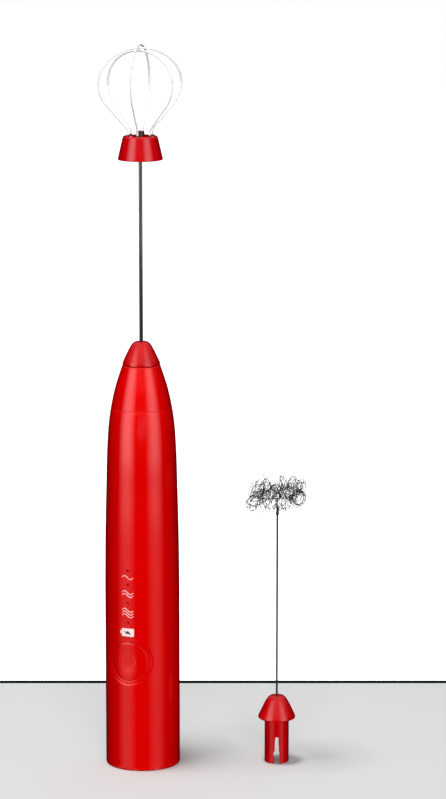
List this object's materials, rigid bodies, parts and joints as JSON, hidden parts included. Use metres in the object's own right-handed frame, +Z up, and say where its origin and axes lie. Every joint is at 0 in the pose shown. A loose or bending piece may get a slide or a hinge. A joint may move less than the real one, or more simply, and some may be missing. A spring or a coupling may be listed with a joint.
{
  "type": "milkshake mixer",
  "caption": "Cordless hand milkshake mixer: tapered cylindrical handle with a push button, plug-in balloon whisk on a thin rod, and a spare whisk with a coil head.",
  "frame": {"origin": "centre of the handle's flat base", "axes": "+Z up the handle's axis to the balloon whisk; -Y is the front, with the control panel turned 22 degrees from -Y towards -X; the spare whisk stands on the +X side"},
  "size_m": [0.0775, 0.032, 0.2719],
  "materials": {
    "red_handle": "satin metallic red lacquer",
    "red_gloss": "glossy moulded red plastic",
    "bright_steel": "bright polished stainless wire",
    "plated_steel": "plated steel",
    "brass": "turned",
    "black_plastic": "moulded",
    "white_plastic": "moulded",
    "tinted_plastic": "moulded light guide tinted deep red",
    "circuit_board": "green solder mask",
    "cell_wrap": "shrink wrap",
    "red_lead": "insulated wire",
    "black_lead": "insulated wire",
    "seal_rubber": "lip seal"
  },
  "bodies": {
    "handle": {"handle_tube": "red_handle", "base_cap": "red_gloss", "nose_cone": "red_handle", "shaft_seal": "seal_rubber", "tact_switch": "plated_steel", "light_low": "white_plastic", "light_medium": "white_plastic", "light_high": "white_plastic", "light_charge": "white_plastic", "light_guide": "tinted_plastic", "control_board": "circuit_board", "board_screw_lower": "plated_steel", "board_screw_upper": "plated_steel", "controller_chip": "black_plastic", "charging_socket": "plated_steel", "socket_tongue": "black_plastic", "charge_board": "circuit_board", "chassis": "black_plastic", "battery_cell": "cell_wrap", "battery_tab_top": "plated_steel", "battery_tab_bottom": "plated_steel", "battery_lead_red": "red_lead", "battery_lead_black": "black_lead", "motor_lead_red": "red_lead", "motor_lead_black": "black_lead", "motor_can": "plated_steel", "motor_mount": "black_plastic", "motor_end_bell": "white_plastic", "motor_screw_left": "plated_steel", "motor_screw_right": "plated_steel"},
    "drive": {"motor_shaft": "plated_steel", "drive_coupling": "brass", "drive_pin": "plated_steel"},
    "whisk": {"whisk_plug": "red_gloss", "whisk_rod": "bright_steel", "rod_collar": "plated_steel", "balloon_cap": "red_gloss", "whisk_hoop_1": "bright_steel", "whisk_hoop_2": "bright_steel", "whisk_hoop_3": "bright_steel"},
    "button": {"power_button": "red_handle", "switch_plunger": "black_plastic"},
    "spare": {"spare_plug": "red_gloss", "spare_stem": "bright_steel", "spare_coil": "bright_steel"}
  },
  "joints": [
    {"name": "whisk_spin", "type": "hinge", "parent": "handle", "child": "drive", "pos_m": [0, 0, 0.1385], "axis": [0, 0, 1], "continuous": true},
    {"name": "whisk_pull", "type": "slide", "parent": "drive", "child": "whisk", "axis": [0, 0, 1], "range_m": [0, 0.03]},
    {"name": "button_press", "type": "slide", "parent": "handle", "child": "button", "axis": [0.3746, 0.9272, 0], "range_m": [0, 0.0006], "stiffness_N_per_m": 1500},
    {"name": "spare_lift", "type": "slide", "parent": "handle", "child": "spare", "axis": [0, 0, 1], "range_m": [0, 0.052]}
  ]
}
